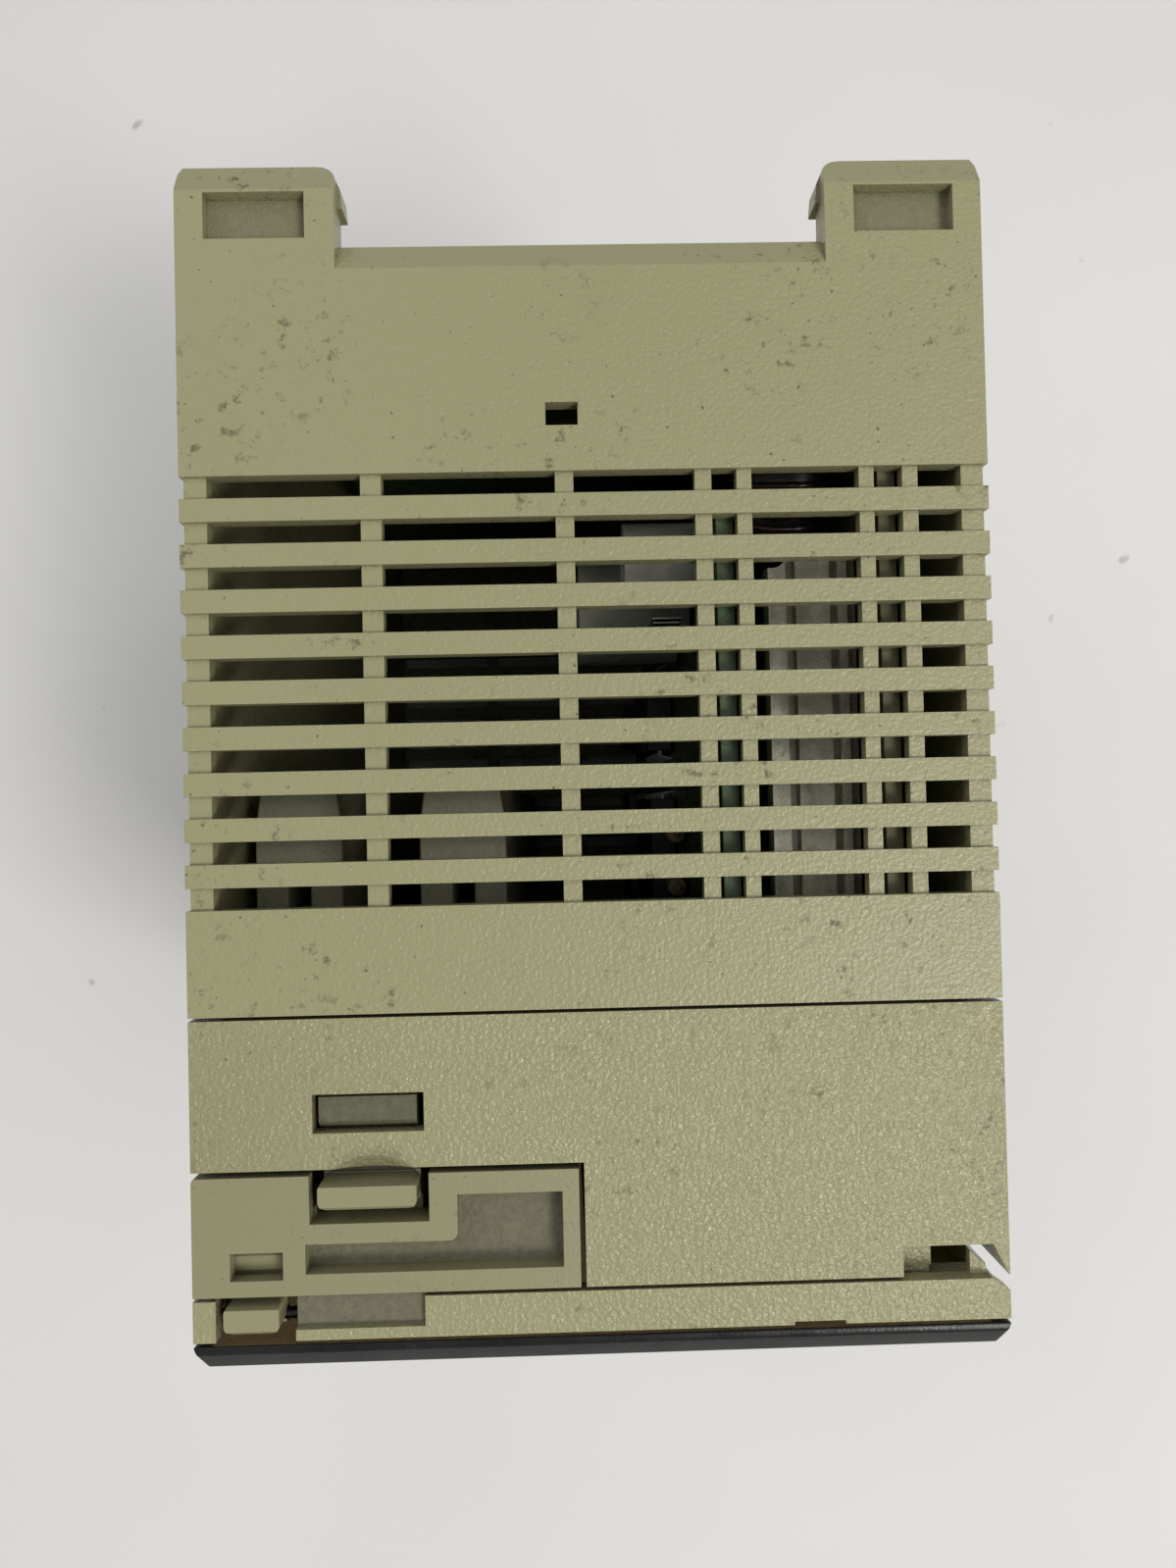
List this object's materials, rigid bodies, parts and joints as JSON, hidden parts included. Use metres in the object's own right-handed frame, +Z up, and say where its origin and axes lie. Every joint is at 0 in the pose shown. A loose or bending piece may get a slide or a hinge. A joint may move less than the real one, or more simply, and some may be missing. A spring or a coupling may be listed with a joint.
{
  "type": "rack-mounted controller module",
  "caption": "Rack-mounted controller module with louvred top and bottom, hooked rear lugs, latched port cover and a smoked front door on a side hinge.",
  "frame": {"origin": "middle of the underside, on the surface the module stands on", "axes": "+Z up, +Y towards the rear lugs (backplane side), -Y towards the door, +X to the door's hinge side"},
  "size_m": [0.07, 0.104, 0.1304],
  "materials": {
    "olive_plastic": "fine leather-grain moulding",
    "grey_plastic": "plain moulding",
    "smoked_plastic": "polished, smoked translucent",
    "black_plastic": "moulded",
    "green_board": "solder-masked circuit board",
    "brown_board": "bare laminate circuit board",
    "aluminium": "dull, as cut",
    "steel": "plated",
    "white_sleeve": "shrink sleeve",
    "ferrite": "pressed ferrite, dark",
    "copper_winding": "enamelled wire under tape",
    "clear_plastic": "clear moulded lens",
    "battery_wrap": "plain shrink wrap"
  },
  "bodies": {
    "root": {"rear_housing": "olive_plastic", "front_case": "olive_plastic", "port_cover": "olive_plastic", "cover_latch_pin_top": "steel", "cover_latch_pin_bottom": "steel", "cover_latch_spring_top": "steel", "cover_latch_spring_bottom": "steel", "upper_hinge_pin": "steel", "lower_hinge_pin": "steel", "main_board": "green_board", "power_board": "brown_board", "backplane_board": "green_board", "front_board": "green_board", "cpu_board": "green_board", "interface_board": "green_board", "board_link": "black_plastic", "card_guide_left": "grey_plastic", "card_guide_right": "grey_plastic", "backplane_connector": "black_plastic", "backplane_screw_1": "steel", "backplane_screw_2": "steel", "backplane_screw_3": "steel", "backplane_screw_4": "steel", "heat_sink": "aluminium", "heat_sink_screw_1": "steel", "heat_sink_screw_2": "steel", "power_transistor": "black_plastic", "filter_choke": "ferrite", "transformer_core": "ferrite", "transformer_coil": "copper_winding", "capacitor_1": "white_sleeve", "capacitor_2": "white_sleeve", "capacitor_3": "white_sleeve", "processor_chip": "black_plastic", "memory_chip": "black_plastic", "status_lens": "clear_plastic", "mode_switch_body": "black_plastic", "programming_port": "steel", "terminal_block": "black_plastic", "terminal_screw_1": "steel", "terminal_screw_2": "steel", "terminal_screw_3": "steel", "terminal_screw_4": "steel", "terminal_screw_5": "steel", "console_connector": "black_plastic", "battery_holder": "grey_plastic", "backup_battery": "battery_wrap", "memory_cassette": "grey_plastic"},
    "door": {"door_frame": "olive_plastic", "door_window": "smoked_plastic", "door_latch_pin": "steel"},
    "door_latch_lever": {"door_latch": "olive_plastic"},
    "cover_latch_top_lever": {"cover_latch_top": "olive_plastic"},
    "cover_latch_bottom_lever": {"cover_latch_bottom": "olive_plastic"},
    "mode_knob": {"mode_switch_knob": "grey_plastic"}
  },
  "joints": [
    {"name": "door_hinge", "type": "hinge", "parent": "root", "child": "door", "pos_m": [0.0339, -0.0476, 0.065], "axis": [0, 0, 1], "range_deg": [0, 100]},
    {"name": "door_latch_press", "type": "hinge", "parent": "door", "child": "door_latch_lever", "pos_m": [-0.02955, -0.0482, 0.1272], "axis": [-1, 0, 0], "range_deg": [0, 6], "stiffness_Nm_per_rad": 0.01},
    {"name": "cover_latch_top_press", "type": "hinge", "parent": "root", "child": "cover_latch_top_lever", "pos_m": [-0.02, -0.0406, 0.125], "axis": [-1, 0, 0], "range_deg": [0, 7], "stiffness_Nm_per_rad": 0.01, "deforming": ["cover_latch_spring_top"]},
    {"name": "cover_latch_bottom_press", "type": "hinge", "parent": "root", "child": "cover_latch_bottom_lever", "pos_m": [-0.02, -0.0406, 0.005], "axis": [1, 0, 0], "range_deg": [0, 7], "stiffness_Nm_per_rad": 0.01, "deforming": ["cover_latch_spring_bottom"]},
    {"name": "mode_switch_slide", "type": "slide", "parent": "root", "child": "mode_knob", "axis": [0, 0, 1], "range_m": [-0.0025, 0.0025]}
  ]
}
